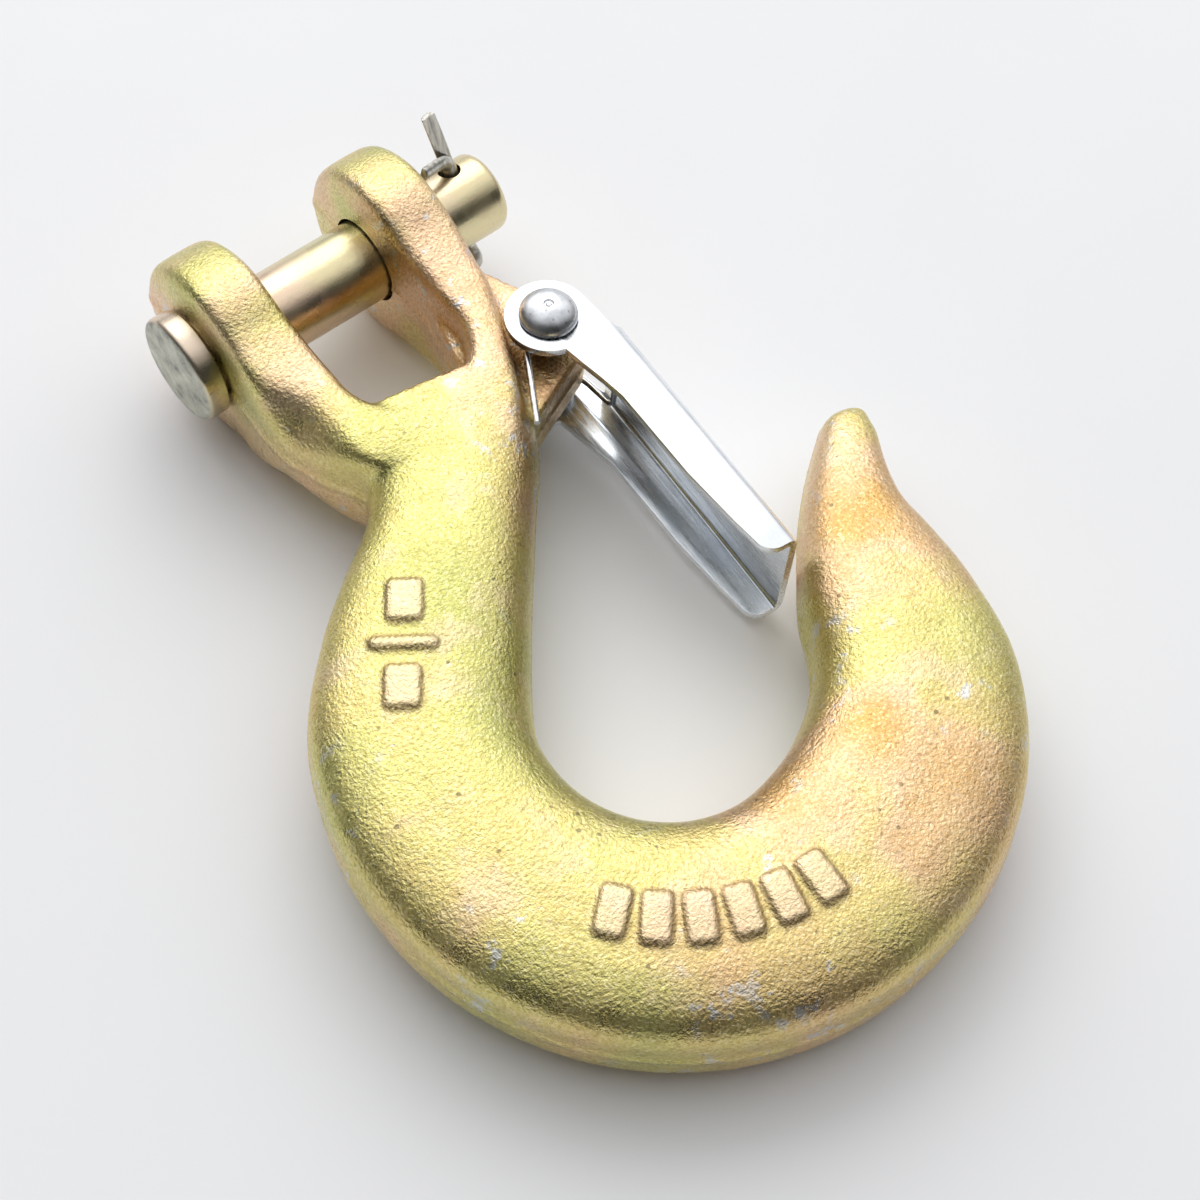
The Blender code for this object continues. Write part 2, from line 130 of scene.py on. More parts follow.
# Raised pads and the flash line.
RELIEF = 0.55 * MM
PAD_CORNER = 0.8 * MM
PAD_SLOPE = 0.7 * MM
PAD_ROW_COUNT = 6
PAD_ROW_RADIUS = 31.5 * MM
PAD_FLOOR_Z = 4 * MM
FLASH_WIDTH = 0.55 * MM
FLASH_HEIGHT = 0.22 * MM

# Rounded edges and fine marks that only the looks have.
PIN_HEAD_EDGE = 0.9 * MM
PIN_NECK_EDGE = 0.4 * MM
PIN_ROUND_END = 1.5 * MM
WIRE_FLAT = 0.5 * MM
WIRE_FLAT_SHARE = 0.93
WIRE_END_SHARE = 0.9
WIRE_END_STEP = 0.12 * MM
SHEARED_EDGE = 0.18 * MM
LATCH_NOSE_RADIUS = 2.6 * MM
LATCH_CUT_REACH = 14 * MM

# Studio.
FLOOR_HALF_SIZE = 4.0
FLOOR_DROP = 0.3 * MM
FLOOR_SLOPE = math.radians(-2.3)
BRIGHT_DIRECTION = (0.38, 0.42, 0.82)
CAMERA_PLACE = Vector((-104.70, -168.16, 254.05)) * MM


def object_from_bmesh(name, bm, collection, location=HOOK_ORIGIN):
    bmesh.ops.recalc_face_normals(bm, faces=bm.faces)
    mesh = bpy.data.meshes.new(name)
    bm.to_mesh(mesh)
    bm.free()
    obj = bpy.data.objects.new(name, mesh)
    obj.location = location
    collection.objects.link(obj)
    return obj


def prism(name, outline, axis, low, high, collection, location=HOOK_ORIGIN):
    """Extrude a closed 2D outline along one axis; the outline lies on the two other axes."""
    def place(point, along):
        first, second = point
        return {"X": (along, first, second), "Y": (first, along, second), "Z": (first, second, along)}[axis]

    bm = bmesh.new()
    face = bm.faces.new([bm.verts.new(place(point, low)) for point in outline])
    grown = bmesh.ops.extrude_face_region(bm, geom=[face])
    top = [item for item in grown["geom"] if isinstance(item, bmesh.types.BMVert)]
    bmesh.ops.translate(bm, verts=top, vec=Vector(place((0, 0), high)) - Vector(place((0, 0), low)))
    return object_from_bmesh(name, bm, collection, location)


def cylinder(name, radius, low, high, centre, axis, collection, segments=48):
    """A round cutter or boss along X or Z, with its ends at low and high on that axis."""
    bm = bmesh.new()
    bmesh.ops.create_cone(bm, cap_ends=True, segments=segments, radius1=radius, radius2=radius,
                          depth=high - low)
    middle = (low + high) / 2
    if axis == "X":
        bmesh.ops.rotate(bm, verts=bm.verts, matrix=Matrix.Rotation(math.pi / 2, 3, "Y"))
        offset = Vector((middle, centre[0], centre[1]))
    else:
        offset = Vector((centre[0], centre[1], middle))
    bmesh.ops.translate(bm, verts=bm.verts, vec=offset)
    return object_from_bmesh(name, bm, collection)


def make_cutter(obj):
    obj.hide_render = True
    obj.display_type = "WIRE"
    return obj


def add_boolean(target, cutter, operation):
    modifier = target.modifiers.new(f"{operation.lower()} {cutter.name}", "BOOLEAN")
    modifier.operation = operation
    modifier.solver = "EXACT"
    modifier.object = cutter
    return modifier


def smooth_shading(obj, angle=math.radians(35)):
    obj.data.shade_smooth()
    obj.data.set_sharp_from_angle(angle=angle)


def arc(centre, radius, start_degrees, end_degrees, steps):
    """Points on an arc, both ends included."""
    points = []
    for step in range(steps + 1):
        angle = math.radians(start_degrees + (end_degrees - start_degrees) * step / steps)
        points.append((centre[0] + radius * math.cos(angle), centre[1] + radius * math.sin(angle)))
    return points


def catmull_rom(values, samples):
    """A smooth run of vectors through the given ones, with samples steps between neighbours."""
    padded = [values[0] * 2 - values[1], *values, values[-1] * 2 - values[-2]]
    smooth = []
    for index in range(1, len(padded) - 2):
        before, start, end, after = padded[index - 1:index + 3]
        for step in range(samples):
            t = step / samples
            smooth.append(0.5 * (2 * start + (end - before) * t
                                 + (2 * before - 5 * start + 4 * end - after) * t ** 2
                                 + (3 * start - before - 3 * end + after) * t ** 3))
    smooth.append(values[-1])
    return smooth


def bowl_station(degrees, inner_radius, outer_radius, half_thickness):
    """Inner edge, outer edge and half thickness of the body on a ray from the bowl's centre."""
    angle = math.radians(degrees)
    ray = (math.cos(angle), math.sin(angle))
    return Vector((BOWL_X + inner_radius * ray[0], BOWL_Y + inner_radius * ray[1],
                   BOWL_X + outer_radius * ray[0], BOWL_Y + outer_radius * ray[1], half_thickness))


def station(inner, outer, half_thickness):
    return Vector((*inner, *outer, half_thickness)) * MM


def body_stations():
    """The forging from inside the clevis, down the shank, round the bowl and up to the tip."""
    full = BODY_HALF_THICKNESS / MM
    shank = [
        station((13.0, -29.0), (-13.5, -24.0), full - 0.6),
        station((8.0, -40.5), (-14.2, -31.5), full - 0.4),
        station((0.8, -48.9), (-18.2, -37.4), full - 0.2),
        station((-5.4, -56.1), (-26.0, -42.6), full),
        station((-11.4, -63.1), (-34.4, -49.0), full),
    ]
    bowl = [bowl_station(degrees, BOWL_INNER_RADIUS, BOWL_OUTER_RADIUS + deeper * MM, BODY_HALF_THICKNESS)
            for degrees, deeper in ((150, 0.0), (172, 0.2), (195, 0.6), (218, 1.1), (241, 1.5), (264, 1.8),
                                    (287, 1.9))]
    rise = [
        bowl_station(308, 17.4 * MM, 46.5 * MM, BODY_HALF_THICKNESS),
        bowl_station(328, 19.4 * MM, 46.2 * MM, BODY_HALF_THICKNESS - 0.2 * MM),
        bowl_station(345, 21.2 * MM, 45.0 * MM, BODY_HALF_THICKNESS - 0.6 * MM),
    ]
    tip = [
        station((18.6, -81.6), (40.0, -83.4), full - 1.2),
        station((22.4, -77.2), (40.4, -78.0), full - 1.9),
        station((26.6, -72.6), (42.0, -73.6), full - 2.7),
        station((31.0, -68.6), (43.9, -70.2), full - 3.6),
        station((35.4, -65.2), (45.6, -67.4), full - 4.4),
        station((39.4, -62.5), (46.4, -65.0), full - 5.2),
    ]
    return shank + bowl + rise + tip


def body_section(inner, outer, half_thickness, count):
    """One closed ring: a rounded slab whose faces fall away towards its outer edge."""
    middle = (inner + outer) / 2
    half = (outer - inner) / 2
    ring = []
    for step in range(count):
        angle = 2 * math.pi * step / count
        across, up = math.cos(angle), math.sin(angle)
        power = 2 / (OUTER_ROUNDNESS if across > 0 else INNER_ROUNDNESS)
        side = math.copysign(abs(across) ** power, across)
        rise = math.copysign(abs(up) ** power, up)
        fall = 1 - FACE_FALL * max(0.0, side) ** 2
        point = middle + half * side
        ring.append(Vector((point.x, point.y, half_thickness * rise * fall)))
    return ring


def loft(name, rings, collection):
    """Skin a run of rings of equal length and close both ends."""
    bm = bmesh.new()
    loops = [[bm.verts.new(point) for point in ring] for ring in rings]
    count = len(rings[0])
    for first, second in zip(loops, loops[1:]):
        for index in range(count):
            following = (index + 1) % count
            bm.faces.new((first[index], first[following], second[following], second[index]))
    bm.faces.new(reversed(loops[0]))
    bm.faces.new(loops[-1])
    return object_from_bmesh(name, bm, collection)


def round_tip(rings):
    """Rings that shrink along a quarter circle, so the tip ends in a blunt dome."""
    last = rings[-1]
    centre = sum(last, Vector()) / len(last)
    centre_before = sum(rings[-2], Vector()) / len(rings[-2])
    forward = (centre - centre_before).normalized()
    reach = 3.2 * MM
    caps = []
    for degrees in (22, 44, 64, 80):
        angle = math.radians(degrees)
        shift = forward * reach * math.sin(angle)
        caps.append([centre + (point - centre) * math.cos(angle) + shift for point in last])
    return caps


def shank_and_bowl(cutters):
    rings = []
    for values in catmull_rom(body_stations(), 4):
        inner = Vector(values[0:2])
        outer = Vector(values[2:4])
        rings.append(body_section(inner, outer, values[4], 40))
    return loft("shank_and_bowl", rings + round_tip(rings), cutters)


def slot_outline(half_width, top):
    """The chain slot between the ears, round at its bottom, open at the top."""
    centre = (0.0, SLOT_BOTTOM_Y + SLOT_HALF_WIDTH)
    return [(half_width, top), *arc(centre, half_width, 0, -180, 24), (-half_width, top)]


def clevis_plan():
    """Outline of the clevis seen along Z: two ears, the slot and the shoulders down to the neck."""
    top = EAR_RADIUS + 1 * MM
    left = [(-EAR_OUTER_X, top), (-EAR_OUTER_X, -8 * MM), (-19.8 * MM, -15 * MM), (-19.7 * MM, -21 * MM),
            (-17.8 * MM, -27 * MM), (-14.8 * MM, -32.5 * MM), (-10 * MM, -38 * MM)]
    right = [(4 * MM, -42 * MM), (8.8 * MM, -36 * MM), (12.4 * MM, -29 * MM), (16.6 * MM, -20 * MM),
             (EAR_OUTER_X, -8 * MM), (EAR_OUTER_X, top)]
    return left + right + slot_outline(SLOT_HALF_WIDTH - SLOT_ALLOWANCE, top)


def clevis_side():
    """Outline of the clevis seen along X: the ears' barrel, which narrows to the neck."""
    upper = [(-14 * MM, 10.2 * MM), (-20 * MM, 9.6 * MM), (-30 * MM, NECK_HALF_THICKNESS),
             (-38 * MM, NECK_HALF_THICKNESS - 0.8 * MM), (-46 * MM, NECK_HALF_THICKNESS - 2 * MM)]
    barrel = arc((0.0, 0.0), EAR_RADIUS, -124, 124, 30)
    return barrel + upper + [(y, -z) for y, z in reversed(upper)]


def shoulder_bevel(side, face, cutters):
    """Wedge that takes the long corner off one shoulder of the clevis, and fades out towards the ear."""
    corners = [(20.2, 3.6), (13.0, 10.6), (13.0, 16.0), (26.0, 16.0), (26.0, 3.6)]
    rings = []
    for y, fade in ((-46.0, 0.0), (-21.0, 0.0), (-5.0, 5.6)):
        rings.append([Vector((side * (x + fade), y, face * (z + fade))) * MM for x, z in corners])
    return make_cutter(loft(f"shoulder_bevel_{side}_{face}", rings, cutters))


def lug_plan():
    """Outline of the latch lug: a round end about the rivet, run back into the clevis and neck."""
    centre = (RIVET_X, RIVET_Y)
    return [(10 * MM, -12 * MM), (18.2 * MM, -12 * MM), *arc(centre, LUG_RADIUS, 22, -66, 8),
            (10 * MM, -38.2 * MM), (2 * MM, -41 * MM)]


def new_collection(name):
    collection = bpy.data.collections.new(name)
    bpy.context.scene.collection.children.link(collection)
    return collection


def bake(obj):
    """Replace an object's modifiers by the mesh that they make, and a curve by a new mesh object."""
    graph = bpy.context.evaluated_depsgraph_get()
    mesh = bpy.data.meshes.new_from_object(obj.evaluated_get(graph), depsgraph=graph)
    mesh.name = obj.name
    obj.modifiers.clear()
    if obj.type == "MESH":
        obj.data = mesh
        return obj
    baked = bpy.data.objects.new(obj.name, mesh)
    baked.matrix_world = obj.matrix_world.copy()
    obj.users_collection[0].objects.link(baked)
    bpy.data.objects.remove(obj)
    return baked


def add_fillets(obj, voxel, iterations):
    """Round every edge and corner the way a forging die does: even voxels, then smoothing."""
    remesh = obj.modifiers.new("forging remesh", "REMESH")
    remesh.mode = "VOXEL"
    remesh.voxel_size = voxel
    smooth = obj.modifiers.new("forging fillets", "SMOOTH")
    smooth.factor = 0.5
    smooth.iterations = iterations


def pad_height(x, y, centre, half_size, angle):
    """Height of one raised pad with rounded corners and sloping sides, at many points at once."""
    dx, dy = x - centre[0], y - centre[1]
    along = np.abs(dx * math.cos(angle) + dy * math.sin(angle)) - half_size[0] + PAD_CORNER
    across = np.abs(dy * math.cos(angle) - dx * math.sin(angle)) - half_size[1] + PAD_CORNER
    outside = np.hypot(np.maximum(along, 0), np.maximum(across, 0))
    distance = outside + np.minimum(np.maximum(along, across), 0) - PAD_CORNER
    share = np.clip(0.5 - distance / PAD_SLOPE, 0, 1)
    return share * share * (3 - 2 * share)


def raised_pads():
    """Plain pads: two with a bar between them on the shank, and a row of six round the bowl."""
    tilt = math.radians(-38)
    pads = [((-23.2 * MM, -52.2 * MM), (2.3 * MM, 3.0 * MM), tilt),
            ((-27.0 * MM, -57.0 * MM), (4.3 * MM, 0.85 * MM), tilt),
            ((-30.8 * MM, -61.8 * MM), (2.3 * MM, 3.0 * MM), tilt)]
    for index in range(PAD_ROW_COUNT):
        ray = math.radians(218 + 9.4 * index)
        centre = (BOWL_X + PAD_ROW_RADIUS * math.cos(ray), BOWL_Y + PAD_ROW_RADIUS * math.sin(ray))
        pads.append((centre, (3.3 * MM, 1.9 * MM), ray))
    return pads


def press_relief(obj):
    """Raise the pads on the upper face, and a thin flash line where the two dies met."""
    mesh = obj.data
    count = len(mesh.vertices)
    points = np.empty(count * 3)
    normals = np.empty(count * 3)
    mesh.vertices.foreach_get("co", points)
    mesh.vertices.foreach_get("normal", normals)
    points = points.reshape(-1, 3)
    normals = normals.reshape(-1, 3)
    x, y, z = points.T
    upper = np.clip((normals[:, 2] - 0.6) / 0.2, 0, 1) * (z > 0)
    height = sum(pad_height(x, y, *pad) for pad in raised_pads())
    points[:, 2] += RELIEF * height * upper
    flank = np.clip((0.5 - np.abs(normals[:, 2])) / 0.2, 0, 1)
    line = np.exp(-(z / FLASH_WIDTH) ** 2) * flank * FLASH_HEIGHT
    points += normals * line[:, None]
    mesh.vertices.foreach_set("co", points.ravel())
    mesh.update()


def mark_pads(mesh):
    """Keep the pads' height on the mesh, so that the finish can wear their tops and paint shadow on their
    sloping sides.
    """
    points = np.empty(len(mesh.vertices) * 3)
    mesh.vertices.foreach_get("co", points)
    x, y, z = points.reshape(-1, 3).T
    height = sum(pad_height(x, y, *pad) for pad in raised_pads()) * (z > PAD_FLOOR_Z)
    mesh.attributes.new("pad", "FLOAT", "POINT").data.foreach_set("value", height.astype(np.float32))


def forging(looks, cutters):
    body = shank_and_bowl(cutters)
    cutters.objects.unlink(body)
    looks.objects.link(body)
    body.name = "forging_look"
    clevis = prism("clevis_block", clevis_plan(), "Z", -20 * MM, 20 * MM, cutters)
    side = make_cutter(prism("clevis_side", clevis_side(), "X", -40 * MM, 40 * MM, cutters))
    add_boolean(clevis, side, "INTERSECT")
    for face in (-1, 1):
        add_boolean(clevis, shoulder_bevel(-1, face, cutters), "DIFFERENCE")
    add_fillets(clevis, FORGING_VOXEL, CLEVIS_SMOOTHING)
    lug = prism("latch_lug", lug_plan(), "Z", -LUG_HALF_THICKNESS, LUG_HALF_THICKNESS, cutters)
    for solid in (clevis, lug):
        add_boolean(body, make_cutter(solid), "UNION")
    add_fillets(body, FINE_VOXEL, FINE_SMOOTHING)
    bake(body)
    press_relief(body)
    bore = cylinder("pin_bore", PIN_BORE_RADIUS, -30 * MM, 30 * MM, (0, 0), "X", cutters, 96)
    rivet_hole = cylinder("rivet_hole", RIVET_HOLE_RADIUS, -20 * MM, 20 * MM, (RIVET_X, RIVET_Y), "Z",
                          cutters, 48)
    for cutter in (bore, rivet_hole):
        add_boolean(body, make_cutter(cutter), "DIFFERENCE")
    bake(body)
    mark_pads(body.data)
    smooth_shading(body, math.radians(50))
    return body


def turned(name, profile, location, rotation, collection, steps):
    """A profile of (radius, height) points turned about its own Z axis, top to bottom."""
    bm = bmesh.new()
    verts = [bm.verts.new((radius, 0.0, height)) for radius, height in profile]
    edges = [bm.edges.new(pair) for pair in zip(verts, verts[1:])]
    bmesh.ops.spin(bm, geom=verts + edges, cent=(0, 0, 0), axis=(0, 0, 1), angle=2 * math.pi, steps=steps,
                   use_merge=True)
    bmesh.ops.remove_doubles(bm, verts=bm.verts, dist=0.005 * MM)
    obj = object_from_bmesh(name, bm, collection, location)
    obj.rotation_euler = rotation
    return obj


def pin_look(looks, cutters):
    """The headed pin, with a rolled head edge, a slightly domed head face and a drilled cross hole."""
    end, neck, face = PIN_END_X, PIN_HEAD_X, PIN_HEAD_X - PIN_HEAD_THICKNESS
    end_round = arc((PIN_RADIUS - PIN_ROUND_END, end - PIN_ROUND_END), PIN_ROUND_END, 0, 90, 5)
    head_round = arc((PIN_HEAD_RADIUS - PIN_HEAD_EDGE, face + PIN_HEAD_EDGE), PIN_HEAD_EDGE, -90, 0, 5)
    profile = [(0.0, end), *reversed(end_round)]
    profile += [(PIN_RADIUS, neck), (PIN_HEAD_RADIUS - PIN_NECK_EDGE, neck),
                (PIN_HEAD_RADIUS, neck - PIN_NECK_EDGE)]
    profile += reversed(head_round)
    profile += [(PIN_HEAD_RADIUS * 0.6, face - 0.08 * MM), (PIN_HEAD_RADIUS * 0.3, face - 0.12 * MM),
                (0.0, face - 0.13 * MM)]
    pin = turned("pin_look", profile, HOOK_ORIGIN, (0, math.pi / 2, 0), looks, 96)
    hole = make_cutter(cylinder("cotter_hole", COTTER_HOLE_RADIUS, -10 * MM, 10 * MM, (COTTER_X, 0), "Z",
                                cutters, 40))
    hole.rotation_euler.x = COTTER_LEAN
    add_boolean(pin, hole, "DIFFERENCE")
    bake(pin)
    smooth_shading(pin)
    return pin


def cotter_path():
    """Centreline of the half-round wire: long leg, through the hole, the eye, back up, short leg."""
    leg = 0.65 * MM
    long_leg = [Vector((24.8 * MM, leg, 15.4 * MM)), Vector((COTTER_X - 0.1 * MM, leg, 8.4 * MM))]
    down = [Vector((COTTER_X, leg, height * MM)) for height in (5.6, 0.0, -6.4)]
    eye_centre_z = -8.9 * MM
    eye = [Vector((COTTER_X, y, eye_centre_z + z)) for y, z in arc((0.0, 0.0), 1.75 * MM, 55, -235, 12)]
    up = [Vector((COTTER_X, -leg, height * MM)) for height in (-6.4, 0.0, 6.2)]
    short_leg = [Vector((25.3, -0.8, 7.6)) * MM, Vector((23.8, -1.5, 8.7)) * MM,
                 Vector((20.2, -2.8, 9.5)) * MM]
    return long_leg + down + eye + up + short_leg


def half_round_rings(path):
    """D sections along the wire, with broken corners; the flat faces the middle of the folded pin."""
    width = Vector((1, 0, 0))
    rings = []
    for index, point in enumerate(path):
        before = path[max(index - 1, 0)]
        after = path[min(index + 1, len(path) - 1)]
        along = (after - before).normalized()
        width = (width - along * width.dot(along)).normalized()
        inward = along.cross(width)
        near_end = min(index, len(path) - 1 - index)
        size = COTTER_RADIUS * (WIRE_END_SHARE if near_end == 0 else 1.0)
        ring = [point + width * size * WIRE_FLAT_SHARE + inward * WIRE_FLAT,
                point - width * size * WIRE_FLAT_SHARE + inward * WIRE_FLAT]
        for degrees in range(172, 7, -12):
            angle = math.radians(degrees)
            outward = size * math.sin(angle) - WIRE_FLAT
            ring.append(point + width * size * math.cos(angle) - inward * outward)
        rings.append(ring)
    return rings


def cotter_look(looks):
    path = catmull_rom(cotter_path(), 5)
    for end, neighbour in ((0, 1), (-1, -2)):
        step = (path[end] - path[neighbour]).normalized() * WIRE_END_STEP
        if end == 0:
            path.insert(0, path[0] + step)
        else:
            path.append(path[-1] + step)
    cotter = loft("cotter_look", half_round_rings(path), looks)
    cotter.rotation_euler.x = COTTER_LEAN
    smooth_shading(cotter)
    return cotter


def latch_side_plan():
    """Outline of a latch flange: u along the latch from its pivot, v towards the mouth of the hook."""
    ear = arc((0, 0), LATCH_EAR_RADIUS, 92, 350, 56)
    lower = [(9 * MM, -0.4 * MM), (12.5 * MM, 0.4 * MM), (16.3 * MM, 1.1 * MM), (31 * MM, 1.4 * MM),
             (40 * MM, 2.2 * MM)]
    nose = arc((LATCH_LENGTH - LATCH_NOSE_RADIUS, 5.3 * MM), LATCH_NOSE_RADIUS, -75, 0, 12)
    top = [(LATCH_LENGTH, LATCH_WEB_V + MM), (LATCH_WEB_START, LATCH_WEB_V + MM), (LATCH_WEB_START, 7.0 * MM),
           (5.0 * MM, 6.6 * MM)]
    return ear + lower + nose + top


def latch_channel_profile():
    """Channel section in v and z: web on the mouth side, flanges towards the bowl."""
    wide, deep, sheet, bend = LATCH_HALF_WIDTH, -8 * MM, LATCH_SHEET, LATCH_BEND_RADIUS
    top = LATCH_WEB_V
    outer = arc((top - bend, wide - bend), bend, 90, 0, 10) + arc((top - bend, bend - wide), bend, 0, -90, 10)
    inner_bend = bend - sheet
    inner = (arc((top - bend, bend - wide), inner_bend, -90, 0, 6)
             + arc((top - bend, wide - bend), inner_bend, 0, 90, 6))
    return ([(deep, wide)] + outer + [(deep, -wide), (deep, -wide + sheet)] + inner + [(deep, wide - sheet)])


def latch_look(looks, cutters):
    pivot = HOOK_ORIGIN + Vector((RIVET_X, RIVET_Y, 0))
    gate = prism("latch_look", latch_channel_profile(), "X", -8 * MM, LATCH_LENGTH + 2 * MM, looks, pivot)
    side = prism("latch_side", latch_side_plan(), "Z", -LATCH_CUT_REACH, LATCH_CUT_REACH, cutters, pivot)
    hole = cylinder("latch_hole", RIVET_HOLE_RADIUS, -LATCH_CUT_REACH, LATCH_CUT_REACH, (0, 0), "Z", cutters,
                    48)
    hole.location = pivot
    add_boolean(gate, make_cutter(side), "INTERSECT")
    add_boolean(gate, make_cutter(hole), "DIFFERENCE")
    for turned_object in (gate, side):
        turned_object.rotation_euler.z = LATCH_REST_ANGLE
    bevel = gate.modifiers.new("sheared edge", "BEVEL")
    bevel.width = SHEARED_EDGE
    bevel.segments = 2
    bevel.angle_limit = math.radians(40)
    bake(gate)
    smooth_shading(gate)
    return gate


def rivet_look(looks):
    """Round-head rivet with the small ring that its setting tool left on the crown."""
    seat = LATCH_HALF_WIDTH + GAP
    crown = seat + RIVET_HEAD_HEIGHT
    profile = [(0.0, crown - 0.10 * MM), (0.30 * MM, crown - 0.12 * MM), (0.42 * MM, crown - 0.30 * MM),
               (0.62 * MM, crown - 0.30 * MM), (0.74 * MM, crown - 0.05 * MM)]
    profile += dome(RIVET_HEAD_RADIUS, RIVET_HEAD_HEIGHT, seat, 1, 22)[3:]
    profile += [(RIVET_RADIUS, seat), (RIVET_RADIUS, -seat)]
    profile += list(reversed(dome(0.88 * RIVET_HEAD_RADIUS, 0.7 * RIVET_HEAD_HEIGHT, -seat, -1, 14)))
    rivet = turned("rivet_look", profile, HOOK_ORIGIN + Vector((RIVET_X, RIVET_Y, 0)), (0, 0, 0), looks, 72)
    smooth_shading(rivet)
    return rivet


def dome(radius, height, base, direction, steps):
    """Profile points of a dome, from its crown to its rim, on a base plane."""
    points = []
    for step in range(steps + 1):
        angle = math.pi / 2 * step / steps
        points.append((radius * math.sin(angle), base + direction * height * math.cos(angle)))
    return points


def spring_half_path():
    """Upper half of the double spring: the leg on the shank, the coil, then the leg under the web."""
    steps_per_turn = 28
    start_degrees = 150
    first_height = LUG_HALF_THICKNESS + GAP + SPRING_WIRE_RADIUS
    rise = SPRING_PITCH * SPRING_TURNS
    leg_height = first_height + rise
    points = [Vector((-11.2 * MM, -11.6 * MM, leg_height))]
    count = round(SPRING_TURNS * steps_per_turn)
    for step in range(count + 1):
        share = step / count
        angle = math.radians(start_degrees - 360 * SPRING_TURNS * share)
        height = leg_height - rise * share
        points.append(Vector((SPRING_COIL_RADIUS * math.cos(angle), SPRING_COIL_RADIUS * math.sin(angle),
                              height)))
    return points


def spring_look(looks):
    half = spring_half_path()
    coil_end_height = half[-1].z
    bridge = [Vector((4.2 * MM, -4.6 * MM, coil_end_height)), Vector((4.4 * MM, -8.8 * MM, coil_end_height)),
              Vector((4.5 * MM, -9.6 * MM, coil_end_height - 0.8 * MM))]
    run = half + bridge
    points = run + [Vector((point.x, point.y, -point.z)) for point in reversed(run)]
    curve = bpy.data.curves.new("spring_look", "CURVE")
    curve.dimensions = "3D"
    curve.bevel_depth = SPRING_WIRE_RADIUS
    curve.bevel_resolution = 4
    curve.use_fill_caps = True
    spline = curve.splines.new("POLY")
    spline.points.add(len(points) - 1)
    for target, point in zip(spline.points, points):
        target.co = (*point, 1.0)
    spring = bpy.data.objects.new("spring_look", curve)
    spring.location = HOOK_ORIGIN + Vector((RIVET_X, RIVET_Y, 0))
    looks.objects.link(spring)
    bpy.context.view_layer.update()
    spring = bake(spring)
    smooth_shading(spring)
    return spring


class Look:
    """A small builder for one procedural material."""

    def __init__(self, name, metallic=1.0):
        self.material = bpy.data.materials.new(name)
        self.material.use_nodes = True
        self.tree = self.material.node_tree
        self.shader = self.tree.nodes["Principled BSDF"]
        self.shader.inputs["Metallic"].default_value = metallic
        self.coords = self.tree.nodes.new("ShaderNodeTexCoord").outputs["Object"]

    def feed(self, socket, value):
        if isinstance(value, bpy.types.NodeSocket):
            self.tree.links.new(value, socket)
        else:
            socket.default_value = value

    def stretched(self, scale):
        node = self.tree.nodes.new("ShaderNodeMapping")
        node.inputs["Scale"].default_value = scale
        self.feed(node.inputs["Vector"], self.coords)
        return node.outputs["Vector"]

    def noise(self, scale, detail=3.0, roughness=0.55, coords=None):
        node = self.tree.nodes.new("ShaderNodeTexNoise")
        self.feed(node.inputs["Vector"], coords or self.coords)
        node.inputs["Scale"].default_value = scale
        node.inputs["Detail"].default_value = detail
        node.inputs["Roughness"].default_value = roughness
        return node.outputs["Fac"]

    def cells(self, scale):
        node = self.tree.nodes.new("ShaderNodeTexVoronoi")
        self.feed(node.inputs["Vector"], self.coords)
        node.inputs["Scale"].default_value = scale
        return node.outputs["Distance"]

    def span(self, value, low, high, out_low=0.0, out_high=1.0):
        node = self.tree.nodes.new("ShaderNodeMapRange")
        node.interpolation_type = "SMOOTHSTEP"
        self.feed(node.inputs["Value"], value)
        for key, number in (("From Min", low), ("From Max", high), ("To Min", out_low), ("To Max", out_high)):
            node.inputs[key].default_value = number
        return node.outputs["Result"]

    def math(self, operation, first, second=0.0):
        node = self.tree.nodes.new("ShaderNodeMath")
        node.operation = operation
        self.feed(node.inputs[0], first)
        self.feed(node.inputs[1], second)
        return node.outputs[0]

    def attribute(self, name):
        node = self.tree.nodes.new("ShaderNodeAttribute")
        node.attribute_name = name
        return node.outputs["Fac"]

    def axis(self, name):
        node = self.tree.nodes.new("ShaderNodeSeparateXYZ")
        self.feed(node.inputs[0], self.coords)
        return node.outputs[name]

    def near(self, point, reach, edge):
        """One inside a ball about a point, falling to zero over its edge."""
        node = self.tree.nodes.new("ShaderNodeVectorMath")
        node.operation = "DISTANCE"
        self.feed(node.inputs[0], self.coords)
        node.inputs[1].default_value = point
        return self.span(node.outputs["Value"], reach, reach + edge, 1.0, 0.0)

    def ramp(self, value, stops):
        node = self.tree.nodes.new("ShaderNodeValToRGB")
        elements = node.color_ramp.elements
        while len(elements) < len(stops):
            elements.new(0.5)
        for element, (position, color) in zip(elements, stops):
            element.position = position
            element.color = (*color, 1.0)
        self.feed(node.inputs[0], value)
        return node.outputs["Color"]

    def mix(self, factor, first, second):
        node = self.tree.nodes.new("ShaderNodeMix")
        node.data_type = "RGBA"
        self.feed(node.inputs[0], factor)
        for socket, value in ((node.inputs[6], first), (node.inputs[7], second)):
            self.feed(socket, (*value, 1.0) if isinstance(value, tuple) else value)
        return node.outputs[2]

    def bump(self, layers):
        """Stack height layers of (height, depth in metres, strength) into one normal."""
        normal = None
        for height, depth, strength in layers:
            node = self.tree.nodes.new("ShaderNodeBump")
            node.inputs["Strength"].default_value = strength
            node.inputs["Distance"].default_value = depth
            self.feed(node.inputs["Height"], height)
            if normal is not None:
                self.feed(node.inputs["Normal"], normal)
            normal = node.outputs["Normal"]
        self.feed(self.shader.inputs["Normal"], normal)

    def finish(self, color, roughness):
        self.feed(self.shader.inputs["Base Color"], color)
        self.feed(self.shader.inputs["Roughness"], roughness)
        return self.material


